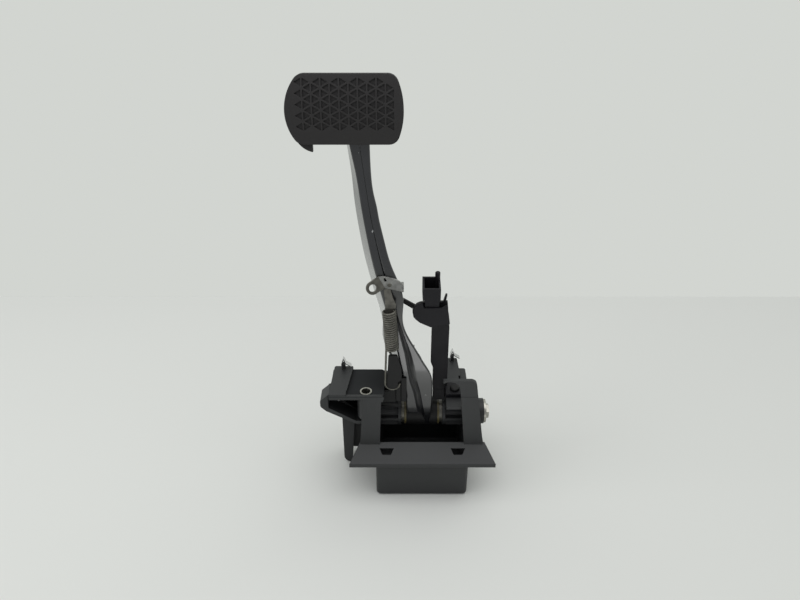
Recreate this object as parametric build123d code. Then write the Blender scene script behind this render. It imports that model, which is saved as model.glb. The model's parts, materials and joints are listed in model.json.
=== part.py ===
from build123d import *
import math
import os

# Car brake pedal on its moulded bracket, in millimetres.
# X runs along the pivot axis, Y away from the pad face, Z up. The bracket stands on Z = 0,
# and the origin lies on that plane below the middle of the pivot axis.

# Pivot
pivot_z = 70.0
bolt_radius = 4.0
bolt_clearance = 0.1
spacer_radius = 6.0
spacer_half = 20.0
running_clearance = 0.03
bush_radius = 9.0
bush_length = 12.0
bush_flange_radius = 12.5
bush_flange = 2.0
tube_radius = 13.0
tube_half = 15.0
thrust_gap = 0.1
thrust_washer_radius = 11.0
weld_gap = 0.1
bolt_head_radius = 11.5
bolt_head_flange = 2.2
hex_radius = 7.5
hex_height = 3.0
nut_height = 6.5
bolt_tail = 2.0
nut_room = 3.5
nut_flange = 1.5

# Bracket tub and flange
wall = 3.5
thin_wall = 2.6
tub_half = 44.5
tub_front = -44.5
tub_rear = 38.0
rim_z = 58.0
tub_corner = 4.0
tub_base_corner = 3.6
flange_back = -32.0
flange_lip = -50.0
flange_drop = 11.6
flange_height = 4.0
flange_flare = 9.5
flange_half = 59.8
window_width = 13.6
window_narrow = 8.0
window_height = 2.9
window_x = 34.0
window_z = 52.7

# Cheeks and hubs
cheek_top = 97.0
cheek_front = -31.0
cheek_rear = 30.0
cheek_corner = 8.0
hub_radius = 13.5
hub_core = 8.5
hub_collar = 3.0
hub_rib = 2.6
hub_ribs = 6
bolt_boss_radius = 12.5
bolt_boss_end = 61.0

# Front columns
frame_front = -34.0
frame_depth = 4.0
left_column_in = -(tub_half - 5.8)
left_column_out = -(tub_half + 11.0)
left_column_splay = 4.0
left_column_lean = 2.0
cap_out = 1.8
cap_drop = 6.0
pillar_in = 33.5
pillar_in_foot = 40.2
pillar_top = 132.0
pillar_top_out = 48.0
pillar_foot_out = 58.5
pillar_corner = 6.0
pillar_wall_rear = 10.0
arch_tip = 18.0
arch_lip = 3.0
arch_spring_z = 123.5
arch_crown_x = 26.5
arch_crown_z = 130.6

# Left wing
deck_top = 114.0
deck_rear = 9.0
deck_inner = -36.0
deck_corner = 4.0
bead_height = 2.5
strip_out = -86.9
strip_in = -71.2
strip_taper = 2.3
strip_flare = 4.9
strip_rear = 11.0
strip_corner = 2.0
wing_front = -30.0
lip_rear = -13.0
lip_out = -95.5
lip_high_z = 106.0
lip_low_z = 99.5
lip_corner = 3.0
wing_knee_x = -90.3
wing_knee_z = 94.2
wing_low_x = -62.8
wing_low_z = 79.0
wing_corner = 2.0
pocket_out = -88.0
pocket_out_z = 98.0
pocket_low_x = -62.7
pocket_low_z = 82.5
leg_out = -79.3
leg_in = -65.5
leg_foot_in = -71.0
leg_front = 1.5
leg_corner = 8.0
leg_return = 22.0
web_front = 16.0

# Mounting sleeve
sleeve_x = -(tub_half + 8.3)
sleeve_y = -25.6
sleeve_radius = 5.6
sleeve_bore = 4.2
sleeve_length = 27.0
sleeve_boss = 8.5
sleeve_proud = 0.6

# Right ledge and tongue
ledge_top = 100.0
ledge_in = 22.0
tongue_top = 105.0
tongue_in = 24.4
tongue_out = 38.4
tongue_tip_in = 26.7
tongue_tip_out = 36.7
tongue_front = 4.0
tongue_rear = 41.0
tongue_corner = 2.0

# Spring clips
clip_sheet = 0.8
clip_depth = 6.0
clip_height = 12.0
clip_shoulder = 6.6
clip_foot = 3.5
clip_wing = 7.0
clip_post = 3.0

# Pedal arm: height, left, seam, right, front, back, groove and shear of each section
arm_sections = [
    (64.0, -9.0, 3.0, 7.0, -13.0, 14.0, 2.0, 0.0),
    (90.0, -15.3, -2.5, 9.0, -19.0, 18.0, 3.3, 0.0),
    (121.0, -15.3, -7.0, 9.2, -21.0, 20.0, 3.3, 0.1),
    (149.0, -21.0, -12.5, -2.5, -20.0, 19.0, 3.0, 0.24),
    (165.0, -25.0, -17.0, -10.0, -19.0, 18.0, 2.6, 0.28),
    (181.0, -29.5, -22.0, -17.6, -17.5, 17.0, 1.6, 0.28),
    (205.0, -36.0, -28.5, -18.0, -15.0, 16.5, 1.6, 0.28),
    (241.0, -45.3, -38.0, -30.0, -8.0, 18.0, 0.8, 0.28),
    (277.0, -52.5, -46.0, -39.0, 3.0, 24.0, 0.3, 0.28),
    (308.0, -57.5, -51.0, -44.8, 13.5, 31.0, 0.2, 0.22),
    (333.0, -63.0, -54.5, -46.0, 20.8, 36.0, 0.2, 0.1),
    (357.0, -66.0, -56.5, -47.0, 23.3, 36.0, 0.2, 0.0),
]
arm_columns = ("height", "left", "seam", "right", "front", "back", "groove", "shear")
arm_steps = 22
arm_wall = 2.3
arm_corner = 2.4
arm_front_corner = 1.5
arm_splay = 2.5
groove_slope = 0.8
seam_gap = 0.1
left_shell_foot = 82.0
pushrod_y = 6.0
pushrod_z = 136.5
pushrod_bore = 5.0
pushrod_wall = 2.0
pushrod_proud = 1.0

# Pad
pad_x = -65.3
pad_y = 12.5
pad_z = 361.5
pad_tilt = 6.0
pad_half_width = 47.0
pad_half_height = 27.2
pad_left_top = 35.5
pad_left_low = 37.5
pad_right_top = 40.0
pad_right_low = 41.0
pad_bulge_drop = 3.0
pad_depth = 10.5
pad_corner = 9.0
crown_radius = 120.0
plate_inset = 5.0
plate_front = 5.5
plate_sheet = 2.5
plate_gap = 0.1
lip_behind = 7.0
skirt_tip_x = -27.0
skirt_drop = 6.4
skirt_rise = 8.0
skirt_bulge = 3.0
weld_reach = 20.0
tread_side = 8.4
tread_rib = 1.4
tread_depth = 1.0
tread_left = -37.0
tread_low = -16.0
tread_margin = 3.0
tread_curve = 0.009

# Spring, its bracket and its anchor
spring_y = -24.0
spring_top_x = -30.7
spring_low_x = -28.3
spring_top_z = 200.0
spring_low_z = 160.0
spring_radius = 5.3
spring_wire = 0.95
spring_turns = 18
hook_radius = 6.7
hook_z = 122.1
saddle_sheet = 2.4
saddle_z = 205.0
saddle_lean = 9.5
saddle_clear = 0.5
lug_x = -45.3
lug_z = 218.5
lug_radius = 6.0
eyelet_radius = 3.1
saddle_rise = 11.0
saddle_shoulder = 20.0
saddle_corner = 2.5
saddle_lift = 5.0
saddle_side = 9.0
tongue_half = 3.6
tongue_clear = 2.0
tongue_reach = 6.0
anchor_sheet = 2.4
anchor_gap = 0.5
anchor_top = 154.0
anchor_top_left = 3.4
anchor_top_right = 4.5
anchor_corner = 4.2
anchor_shoulder = 8.5
anchor_shoulder_low = 5.0
anchor_shoulder_high = 16.0
hook_room = 2.0
anchor_half = 3.0
anchor_neck = 12.0
anchor_foot_z = 97.5
anchor_foot_height = 12.5
rivet_y = -7.0
rivet_radius = 2.5
rivet_head = 4.2
rivet_head_height = 1.5

# Brake light switch: heights are set from the plunger's axis
switch_x = 3.0
switch_z = 178.5
barrel_radius = 3.5
barrel_clearance = 0.15
barrel_proud = 1.5
plunger_radius = 1.8
plunger_travel = 6.0
plunger_gap = 0.1
shroud_left = -1.4
shroud_right = 14.4
shroud_front = -11.0
shroud_back = 7.0
shroud_step = 2.0
shroud_step_z = switch_z + 24.0
shroud_front_z = switch_z + 35.5
shroud_back_z = switch_z + 38.7
shroud_foot_z = switch_z - 6.0
shroud_wall = 1.6
socket_depth = 11.0
peg_radius = 2.3
peg_height = 6.0
terminal_pitch = 4.0
terminal_size = 0.8
terminal_width = 2.4
terminal_height = 5.0
carrier_front = -4.0
carrier_sheet = 3.0
carrier_depth = 12.0
carrier_left = 7.6
carrier_right = 23.8
carrier_top_right = 21.2
carrier_foot_left = 10.4
carrier_knee_z = 132.0
carrier_knee = 8.0
carrier_top_z = switch_z + 19.0
carrier_fork_z = switch_z - 8.1
lobe_x = -0.6
lobe_z = switch_z + 8.6
lobe_radius = 9.5
lobe_low_x = -9.7
lobe_low_z = switch_z + 6.0
carrier_foot_right = 37.0
carrier_foot_front = -17.0
carrier_foot_height = 4.0
carrier_web = 6.0
finger_x = 16.8
finger_half = 1.5
finger_lean = 3.2
finger_top = switch_z + 26.0
finger_low = switch_z + 12.0
carrier_screw_x = 31.0
carrier_screw_y = -9.0
screw_radius = 2.0
screw_head = 4.5
screw_head_height = 2.6
screw_length = 9.0
striker_sheet = 2.5
striker_width = 5.0
striker_pad = 4.5
striker_root_z = switch_z + 16.5
striker_tab = 6.0
striker_clear = 0.35


def block(x0, x1, y0, y1, z0, z1):
    """Box between two corners."""
    return Pos((x0 + x1) / 2, (y0 + y1) / 2, (z0 + z1) / 2) * Box(x1 - x0, y1 - y0, z1 - z0)


def bar_x(x0, x1, radius, y=0.0, z=pivot_z):
    """Round bar along X."""
    return Pos((x0 + x1) / 2, y, z) * Rot(0, 90, 0) * Cylinder(radius, x1 - x0)


def bar_y(y0, y1, radius, x, z):
    """Round bar along Y."""
    return Pos(x, (y0 + y1) / 2, z) * Rot(90, 0, 0) * Cylinder(radius, y1 - y0)


def bar_z(z0, z1, radius, x, y):
    """Round bar along Z."""
    return Pos(x, y, (z0 + z1) / 2) * Cylinder(radius, z1 - z0)


def ring_x(x0, x1, outer, inner):
    """Tube on the pivot axis."""
    return bar_x(x0, x1, outer) - bar_x(x0, x1, inner)


def rounded(points, radii):
    """Flat outline with some of its corners rounded."""
    face = make_face(Polyline(*points, close=True))
    for (x, y), radius in zip(points, radii):
        if radius:
            corner = face.vertices().sort_by_distance((x, y, 0))[0]
            face = fillet(corner, radius)
    return face


def plate_y(face, y0, y1):
    """Plate whose outline is drawn in X and Z, from y0 back to y1."""
    plane = Plane(origin=(0, y1, 0), x_dir=(1, 0, 0), z_dir=(0, -1, 0))
    return extrude(plane * face, y1 - y0)


def plate_z(face, z0, z1):
    """Plate whose outline is drawn in X and Y, from z0 up to z1."""
    return extrude(Pos(0, 0, z0) * face, z1 - z0)


def tub():
    """Open tub at the foot of the bracket."""
    outer = block(-tub_half, tub_half, tub_front, tub_rear, 0, rim_z)
    outer = fillet(outer.edges().filter_by(Axis.Z), tub_corner)
    outer = fillet(outer.edges().group_by(Axis.Z)[0], tub_base_corner)
    inner = block(-tub_half + wall, tub_half - wall, tub_front + wall, tub_rear - wall, wall, rim_z + 1)
    shaped = outer - fillet(inner.edges().filter_by(Axis.Z), tub_corner - wall / 2)
    return shaped - above_flange()


def above_flange():
    """Space over the flange's slope, which the tub's front wall stays out of."""
    points = [
        (flange_back, rim_z),
        (flange_lip, rim_z - flange_drop),
        (flange_lip, rim_z + 1),
        (flange_back, rim_z + 1),
    ]
    plane = Plane(origin=(-tub_half, 0, 0), x_dir=(0, 1, 0), z_dir=(1, 0, 0))
    return extrude(plane * make_face(Polyline(*points, close=True)), 2 * tub_half)


def flange():
    """Flared flange along the front of the tub, mitred at both ends."""
    sections = []
    for y, half, z in (
        (flange_back, flange_half, rim_z),
        (flange_lip, flange_half + flange_flare, rim_z - flange_drop),
    ):
        plane = Plane(origin=(0, y, z - flange_height / 2), x_dir=(1, 0, 0), z_dir=(0, -1, 0))
        sections.append(plane * Rectangle(2 * half, flange_height))
    return loft(sections, ruled=True)


def window(side):
    """Tapered cut through the flange and the tub's front wall."""
    top = window_z + window_height / 2
    low = window_z - window_height / 2
    points = [
        (side * window_x - window_width / 2, top),
        (side * window_x + window_width / 2, top),
        (side * window_x + window_narrow / 2, low),
        (side * window_x - window_narrow / 2, low),
    ]
    return plate_y(make_face(Polyline(*points, close=True)), flange_lip - 1, tub_front + wall + 1)


def cheek(side):
    """Side wall that carries one hub."""
    inner = side * (tub_half - wall)
    outer = side * tub_half
    plate = block(min(inner, outer), max(inner, outer), cheek_front, cheek_rear, rim_z - wall, cheek_top)
    top_corners = plate.edges().filter_by(Axis.X).group_by(Axis.Z)[-1]
    return fillet(top_corners, cheek_corner)


def hub():
    """Ribbed hub on the right cheek, with an end collar."""
    root = tub_half - wall
    body = bar_x(spacer_half, root, hub_core) + bar_x(spacer_half, spacer_half + hub_collar, hub_radius)
    for number in range(hub_ribs):
        rib = block(spacer_half, root, 0, hub_radius, -hub_rib / 2, hub_rib / 2)
        body += Pos(0, 0, pivot_z) * Rot(360 / hub_ribs * number, 0, 0) * rib
    return body


def columns():
    """Left column with its cap, and right hooded pillar of the front frame."""
    rear = frame_front + frame_depth
    foot = rim_z - wall
    left_points = [
        (left_column_out - left_column_splay, foot),
        (left_column_in - left_column_lean, foot),
        (left_column_in, deck_top - cap_drop),
        (left_column_in + cap_out, deck_top - cap_drop),
        (left_column_in + cap_out, deck_top),
        (left_column_out, deck_top),
    ]
    left = plate_y(make_face(Polyline(*left_points, close=True)), frame_front, rear)
    hood = (arch_tip, pillar_top - arch_lip)
    spring = (pillar_in, arch_spring_z)
    points = [
        (pillar_in_foot, foot),
        spring,
        hood,
        (arch_tip, pillar_top),
        (pillar_top_out, pillar_top),
        (pillar_foot_out, foot),
    ]
    right = plate_y(rounded(points, (0, 0, 0, 0, pillar_corner, 0)), frame_front, rear)
    crown_point = (arch_crown_x, arch_crown_z)
    arch = make_face([ThreePointArc(spring, crown_point, hood), Line(hood, spring)])
    return left + (right - plate_y(arch, frame_front - 1, rear + 1))


def pillar_wall():
    """Slanted outer wall behind the right pillar, with the seat of the pivot bolt."""
    points = [
        (pillar_top_out, pillar_top - pillar_corner),
        (pillar_foot_out, rim_z - wall),
        (pillar_foot_out - wall, rim_z - wall),
        (pillar_top_out - wall, pillar_top - pillar_corner),
    ]
    slant = plate_y(make_face(Polyline(*points, close=True)), frame_front, pillar_wall_rear)
    floor = block(tub_half - wall, pillar_foot_out, flange_back, pillar_wall_rear, rim_z - wall, rim_z)
    boss = bar_x(tub_half - wall, bolt_boss_end, bolt_boss_radius)
    return slant + floor + boss


def wing_outline(out_high, out_low, knee):
    """Outline of the wing, drawn in X and Z, with its outer wall at the given places."""
    inner = left_column_out + wall
    points = [
        (inner, deck_top),
        (strip_out, deck_top),
        (out_high, lip_high_z),
        (out_low, lip_low_z),
        (knee, wing_knee_z),
        (wing_low_x, wing_low_z),
        (inner, wing_low_z),
    ]
    return rounded(points, (0, wing_corner, wing_corner, lip_corner, wing_corner, 0, 0))


def wing():
    """Left wing: a pocket open to the front, its bulged lip, and the leg below it."""
    lip = plate_y(wing_outline(lip_out, lip_out, wing_knee_x), wing_front, lip_rear)
    shoulder = strip_out + strip_taper
    body = plate_y(wing_outline(shoulder, shoulder, shoulder + wall), wing_front, deck_rear)
    pocket_outline = [
        (left_column_out, deck_top - wall),
        (pocket_out, deck_top - wall),
        (pocket_out, pocket_out_z),
        (pocket_low_x, pocket_low_z),
        (left_column_out, pocket_low_z),
    ]
    pocket = plate_y(make_face(Polyline(*pocket_outline, close=True)), wing_front - 1, lip_rear)
    rear_outline = [(max(x, shoulder + wall), z) for x, z in pocket_outline]
    pocket += plate_y(make_face(Polyline(*rear_outline, close=True)), wing_front - 1, leg_front)
    return lip + body - pocket + leg()


def leg():
    """Tapered leg with a side return, and the web that ties it to the tub."""
    outline = [
        (leg_foot_in, 0),
        (leg_out, 0),
        (leg_out, pocket_out_z),
        (wing_low_x, pocket_out_z),
        (leg_in, wing_low_z - wall),
    ]
    front = plate_y(rounded(outline, (0, leg_corner, 0, 0, 0)), leg_front, leg_front + wall)
    side = block(leg_out, leg_out + wall, leg_front, leg_front + leg_return, leg_corner, pocket_out_z)
    web = block(leg_out, -tub_half + wall, web_front, web_front + wall, leg_corner, cheek_top)
    return front + side + web


def deck():
    """Top of the left wing, with its front bead and the raised strip of the clip."""
    front = frame_front
    points = [
        (strip_out, front),
        (deck_inner, front),
        (deck_inner, deck_rear),
        (strip_out + strip_taper, deck_rear),
    ]
    low = deck_top - wall
    top = plate_z(rounded(points, (0, 0, deck_corner, 0)), low, deck_top)
    bead = block(strip_out, left_column_in + cap_out, front, front + thin_wall, low, deck_top + bead_height)
    strip_points = [
        (strip_out, front),
        (strip_in, front),
        (strip_in + strip_flare, strip_rear),
        (strip_out + strip_taper, strip_rear),
    ]
    strip_face = rounded(strip_points, (0, 0, strip_corner, strip_corner))
    strip = plate_z(strip_face, low, deck_top + bead_height)
    rise_low = cheek_top - cheek_corner
    cheek_rise = block(-tub_half, -tub_half + wall, cheek_front, deck_rear, rise_low, deck_top)
    return top + bead + strip + cheek_rise


def rear_wall(side):
    """Half of the wall that closes the back between the cheeks, clear of the arm's swing."""
    inner = side * ledge_in
    outer = side * tub_half
    low = rim_z - wall
    return block(min(inner, outer), max(inner, outer), cheek_rear - wall, cheek_rear, low, cheek_top)


def ledge():
    """Right ledge over the cheek, with the tapered tongue of the right clip."""
    plate = block(ledge_in, tub_half, cheek_front, cheek_rear, cheek_top, ledge_top)
    plate = fillet(plate.edges().filter_by(Axis.Z).group_by(Axis.Y)[-1], strip_corner)
    points = [
        (tongue_in, tongue_front),
        (tongue_out, tongue_front),
        (tongue_tip_out, tongue_rear),
        (tongue_tip_in, tongue_rear),
    ]
    tongue = plate_z(rounded(points, (0, 0, tongue_corner, tongue_corner)), cheek_top, tongue_top)
    return plate + tongue


def clip_places():
    """Middle, rear and seat height of the two spring clips."""
    return (
        ((strip_out + strip_taper + strip_in + strip_flare) / 2, strip_rear, deck_top + bead_height),
        ((tongue_tip_in + tongue_tip_out) / 2, tongue_rear, tongue_top),
    )


def clip_posts():
    """Moulded posts that the clips are pushed on."""
    posts = []
    for x, y, z in clip_places():
        posts.append(block(
            x - clip_post / 2, x + clip_post / 2, y - clip_depth, y - 1, z - wall, z + clip_height / 2))
    return posts


def pedal_bracket():
    """The whole moulding."""
    body = tub() + flange() + cheek(-1) + cheek(1)
    body += hub() + mirror(hub(), about=Plane.YZ)
    body += columns() + pillar_wall() + wing() + deck() + ledge()
    body += rear_wall(-1) + rear_wall(1)
    sleeve_low = deck_top - sleeve_length
    body += bar_z(sleeve_low, deck_top, sleeve_boss, sleeve_x, sleeve_y)
    for post in clip_posts():
        body += post
    body -= window(-1) + window(1)
    body -= bar_x(-tub_half - nut_height - 2 * bolt_tail, -tub_half, hex_radius + nut_room)
    body -= bar_x(-tub_half - 1, bolt_boss_end + 1, bolt_radius + bolt_clearance)
    body -= bar_z(sleeve_low - 1, deck_top + 1, sleeve_radius, sleeve_x, sleeve_y)
    body -= bar_z(cheek_top - 1, ledge_top + 1, screw_radius, carrier_screw_x, carrier_screw_y)
    return body


def mounting_sleeve():
    """Steel sleeve for the mounting bolt."""
    low = deck_top - sleeve_length
    high = deck_top + sleeve_proud
    tube = bar_z(low, high, sleeve_radius, sleeve_x, sleeve_y)
    return tube - bar_z(low, high, sleeve_bore, sleeve_x, sleeve_y)


def spring_clip(place):
    """Folded spring-steel clip on its post."""
    x, y, z = place
    half = (clip_post + clip_sheet) / 2 + weld_gap
    points = [
        (x - half, z + clip_sheet),
        (x - half, z + clip_shoulder),
        (x, z + clip_height),
        (x + half, z + clip_shoulder),
        (x + clip_wing, z + clip_foot),
    ]
    sheet = Wire(Polyline(*points).edges()).offset_2d(clip_sheet / 2)
    return plate_y(make_face(sheet), y - clip_depth, y - 1)


def pivot_bolt():
    """Pivot bolt with a broad flanged head."""
    head = bolt_boss_end + bolt_head_flange
    bolt = bar_x(-tub_half - nut_height - bolt_tail, head, bolt_radius)
    bolt += bar_x(bolt_boss_end, head, bolt_head_radius)
    hexagon = Plane(origin=(head, 0, pivot_z), z_dir=(1, 0, 0)) * RegularPolygon(hex_radius, 6)
    return bolt + extrude(hexagon, hex_height)


def pivot_nut():
    """Flanged nut of the pivot bolt."""
    face = -tub_half
    nut = bar_x(face - nut_flange, face, hex_radius + nut_flange)
    hexagon = Plane(origin=(face, 0, pivot_z), z_dir=(-1, 0, 0)) * RegularPolygon(hex_radius, 6)
    return nut + extrude(hexagon, nut_height) - bar_x(face - nut_height, face, bolt_radius)


def pivot_spacer():
    """Crush tube between the hubs."""
    return ring_x(-spacer_half, spacer_half, spacer_radius, bolt_radius + bolt_clearance)


def pivot_tube():
    """Tube welded into the arm."""
    return ring_x(-tube_half, tube_half, tube_radius, bush_radius)


def pivot_bush():
    """Flanged bush at the right end of the tube."""
    bore = spacer_radius + running_clearance
    barrel = ring_x(tube_half - bush_length, tube_half, bush_radius, bore)
    return barrel + ring_x(tube_half, tube_half + bush_flange, bush_flange_radius, bore)


def thrust_washer():
    """Washer between the right bush and the right hub."""
    face = tube_half + bush_flange + thrust_gap
    return ring_x(face, spacer_half, thrust_washer_radius, spacer_radius + bolt_clearance)


def arm_at(z, column):
    """One measure of the arm at a height, on a smooth curve that never overshoots its sections."""
    heights = [section[0] for section in arm_sections]
    values = [section[arm_columns.index(column)] for section in arm_sections]
    spans = list(zip(heights, heights[1:], values, values[1:]))
    rates = [(v1 - v0) / (z1 - z0) for z0, z1, v0, v1 in spans]
    slopes = [rates[0]]
    for before, after in zip(rates, rates[1:]):
        slopes.append(2 * before * after / (before + after) if before * after > 0 else 0.0)
    slopes.append(rates[-1])
    number = max(i for i, height in enumerate(heights[:-1]) if z >= height or i == 0)
    z0, z1, v0, v1 = spans[number]
    step = z1 - z0
    t = (z - z0) / step
    bend = t * t * (3 - 2 * t)
    start = t * (1 - t) ** 2 * step * slopes[number]
    end = t * t * (t - 1) * step * slopes[number + 1]
    return v0 + bend * (v1 - v0) + start + end


def arm_x(z, y, x):
    """X of a point of the section, moved with the section's lean to the left towards the back."""
    return x - arm_at(z, "shear") * (y - arm_at(z, "front"))


def arm_edge(z, y, side):
    """X of the arm's left or right wall at a height and depth."""
    return arm_x(z, y, arm_at(z, "left" if side < 0 else "right"))


def shell_section(z, side):
    """Outer outline of one half shell at one height."""
    seam = arm_at(z, "seam")
    front = arm_at(z, "front")
    back = arm_at(z, "back")
    groove = arm_at(z, "groove")
    edge = arm_at(z, "left" if side < 0 else "right")
    splay = -arm_splay if side < 0 else 0.0
    joint = seam + side * seam_gap / 2
    points = [
        (joint, front + groove * groove_slope),
        (seam + side * groove, front),
        (edge, front),
        (edge + splay, back),
        (joint, back),
    ]
    points = [(arm_x(z, y, x), y) for x, y in points]
    radii = [0, 0, arm_front_corner, arm_corner, 0]
    return Pos(0, 0, z) * rounded(points[::side], radii[::side])


def hollow_section(z, side):
    """Inner outline of one half shell at one height."""
    seam = arm_at(z, "seam") - side * arm_wall
    inside = arm_at(z, "front") + arm_at(z, "groove") * groove_slope + arm_wall
    back = arm_at(z, "back") - arm_wall
    edge = arm_at(z, "left" if side < 0 else "right") - side * arm_wall
    splay = -arm_splay if side < 0 else 0.0
    points = [(seam, inside), (edge, inside), (edge + splay, back), (seam, back)]
    points = [(arm_x(z, y, x), y) for x, y in points]
    return Pos(0, 0, z) * make_face(Polyline(*points[::side], close=True))


def arm_shell(side):
    """One deep-drawn half of the arm."""
    foot = arm_sections[0][0]
    top = arm_sections[-1][0]
    heights = [foot + (top - foot) * step / arm_steps for step in range(arm_steps + 1)]
    outer = loft([shell_section(z, side) for z in heights])
    hollow = loft([hollow_section(min(z, top - arm_wall), side) for z in heights])
    shell = outer - hollow
    shell -= bar_x(-tub_half, tub_half, tube_radius + weld_gap)
    shell -= bar_x(-tub_half, tub_half, pushrod_bore + pushrod_wall + weld_gap, pushrod_y, pushrod_z)
    if side < 0:
        shell -= block(-tub_half, tub_half, tub_front, tub_rear, 0, left_shell_foot)
    return shell


def pushrod_sleeve():
    """Cross tube for the pin of the push rod."""
    radius = pushrod_bore + pushrod_wall
    left = arm_edge(pushrod_z + radius, pushrod_y + radius, -1) - arm_splay - pushrod_proud
    right = arm_edge(pushrod_z - radius, pushrod_y - radius, 1) + pushrod_proud
    outer = bar_x(left, right, radius, pushrod_y, pushrod_z)
    return outer - bar_x(left, right, pushrod_bore, pushrod_y, pushrod_z)


def place_pad(shape):
    """Moves a shape from the pad's own frame to its place on the arm."""
    return Pos(pad_x, pad_y, pad_z) * Rot(-pad_tilt, 0, 0) * shape


def pad_outline(inset):
    """Barrel-sided outline of the pad, drawn in X and Z."""
    bulge = pad_half_width - inset
    high = pad_half_height - inset
    top_left = (inset - pad_left_top, high)
    top_right = (pad_right_top - inset, high)
    low_right = (pad_right_low - inset, -high)
    low_left = (inset - pad_left_low, -high)
    face = make_face([
        Line(top_left, top_right),
        ThreePointArc(top_right, (bulge, -pad_bulge_drop), low_right),
        Line(low_right, low_left),
        ThreePointArc(low_left, (-bulge, -pad_bulge_drop), top_left),
    ])
    return fillet(face.vertices(), pad_corner - inset)


def crown(radius):
    """Large roller whose front is the pad's convex face."""
    return Pos(0, crown_radius, 0) * Rot(0, 90, 0) * Cylinder(radius, 4 * pad_half_width)


def tread_cells():
    """Triangular cells of the tread, away from the worn left and lower parts."""
    pitch = tread_side * math.sqrt(3) / 2
    radius = tread_side / math.sqrt(3) - tread_rib
    columns_right = int(pad_half_width // pitch)
    rows_up = int(2 * pad_half_height // tread_side) + 1
    cells = []
    for column in range(-columns_right, columns_right + 1):
        for row in range(-2 * rows_up, 2 * rows_up):
            points_left = (column + row) % 2 == 0
            shift = pitch / 6 if points_left else -pitch / 6
            x = column * pitch + shift
            z = row * tread_side / 2
            reach = pad_half_width - tread_margin - tread_curve * z * z
            if tread_left < x < reach - pitch / 2 and tread_low < z < pad_half_height - tread_margin:
                cells.append(Pos(x, z) * RegularPolygon(radius, 3, rotation=180 if points_left else 0))
    return cells


def pad_skirt():
    """Rubber skirt that hangs below the pad's lower left corner."""
    low = -pad_half_height
    tip = (skirt_tip_x, low - skirt_drop)
    inside = (skirt_tip_x, low + skirt_rise / 2)
    outside = (-pad_left_low - skirt_rise / 2, low + skirt_rise)
    middle = (-pad_left_low + skirt_bulge, low - skirt_bulge)
    return make_face([Line(tip, inside), Line(inside, outside), ThreePointArc(outside, middle, tip)])


def pad_rubber():
    """Rubber cover with its tread, wrapped round the edge of the plate."""
    cover = plate_y(pad_outline(0), -1, pad_depth) & crown(crown_radius)
    cover += plate_y(pad_skirt(), plate_front, pad_depth)
    plate_back = plate_front + plate_sheet + plate_gap
    cover -= plate_y(pad_outline(plate_inset - plate_gap), plate_front - plate_gap, plate_back)
    cover -= plate_y(pad_outline(lip_behind), plate_front, pad_depth + 1)
    tool = plate_y(Sketch() + tread_cells(), -plate_front, plate_front) - crown(crown_radius - tread_depth)
    return place_pad(cover - tool)


def pad_plate():
    """Steel plate under the rubber, welded to the arm's top."""
    plate = plate_y(pad_outline(plate_inset), plate_front, plate_front + plate_sheet)
    left = arm_at(pad_z, "left") - pad_x + arm_corner
    right = arm_at(pad_z, "right") - pad_x - arm_corner
    top = arm_sections[-1][0] - pad_z - arm_corner
    boss = rounded(
        [(left, -weld_reach), (right, -weld_reach), (right, top), (left, top)],
        [arm_corner] * 4,
    )
    plate += plate_y(boss, plate_front, pad_depth)
    return place_pad(plate)


def return_spring():
    """Closed coil with a long lower hook."""
    height = spring_top_z - spring_low_z
    pitch = height / spring_turns
    lean = math.degrees(math.atan2(spring_top_x - spring_low_x, height))
    helix = Helix(pitch, height, spring_radius)
    coil = sweep(Plane(origin=helix @ 0, z_dir=helix % 0) * Circle(spring_wire), path=helix, is_frenet=True)
    spring = Rot(0, lean, 0) * coil
    drop = hook_z - spring_low_z
    leg = Line((-spring_radius, 0, 0), (-hook_radius, 0, drop))
    bend = ThreePointArc((-hook_radius, 0, drop), (0, 0, drop - hook_radius), (hook_radius, 0, drop))
    for path in (leg, bend):
        section = Plane(origin=path @ 0, z_dir=path % 0) * Circle(spring_wire)
        spring += sweep(section, path=path)
    for x, z in ((-hook_radius, drop), (-spring_radius, 0)):
        spring += Pos(x, 0, z) * Sphere(spring_wire)
    return Pos(spring_low_x, spring_y, spring_low_z) * spring


def spring_bracket():
    """Saddle on the arm's front with the eyelet lug and the bent tongue of the spring."""
    top = lug_z + saddle_rise
    right = arm_at(saddle_z, "right") + saddle_clear
    outer = right + saddle_sheet
    low = saddle_z + saddle_lift
    tongue_left = spring_top_x - tongue_half
    plate = rounded(
        [
            (lug_x + lug_radius, top),
            (lug_x + saddle_shoulder, top - saddle_corner),
            (outer, lug_z - saddle_corner),
            (outer, low),
            (tongue_left, low),
            (lug_x + lug_radius, lug_z - lug_radius / 2),
        ],
        [saddle_corner] * 3 + [0, 0, 0],
    )
    lug = Pos(lug_x, lug_z) * Circle(lug_radius)
    neck = make_face(Polyline(
        (lug_x, lug_z + lug_radius),
        (lug_x + lug_radius + saddle_corner, top - saddle_corner),
        (lug_x + lug_radius + saddle_corner, lug_z - lug_radius / 2),
        (lug_x, lug_z - lug_radius),
        close=True,
    ))
    sheet = plate_y(plate + lug + neck - Pos(lug_x, lug_z) * Circle(eyelet_radius), -saddle_sheet, 0)
    side = block(right, outer, -saddle_sheet, saddle_side, low, lug_z - saddle_corner)
    front = arm_at(saddle_z, "front") - saddle_clear
    saddle = Pos(0, front, saddle_z) * Rot(-saddle_lean, 0, 0) * Pos(0, 0, -saddle_z) * (sheet + side)
    return saddle + spring_tongue(front - saddle_sheet / 2, low)


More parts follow.
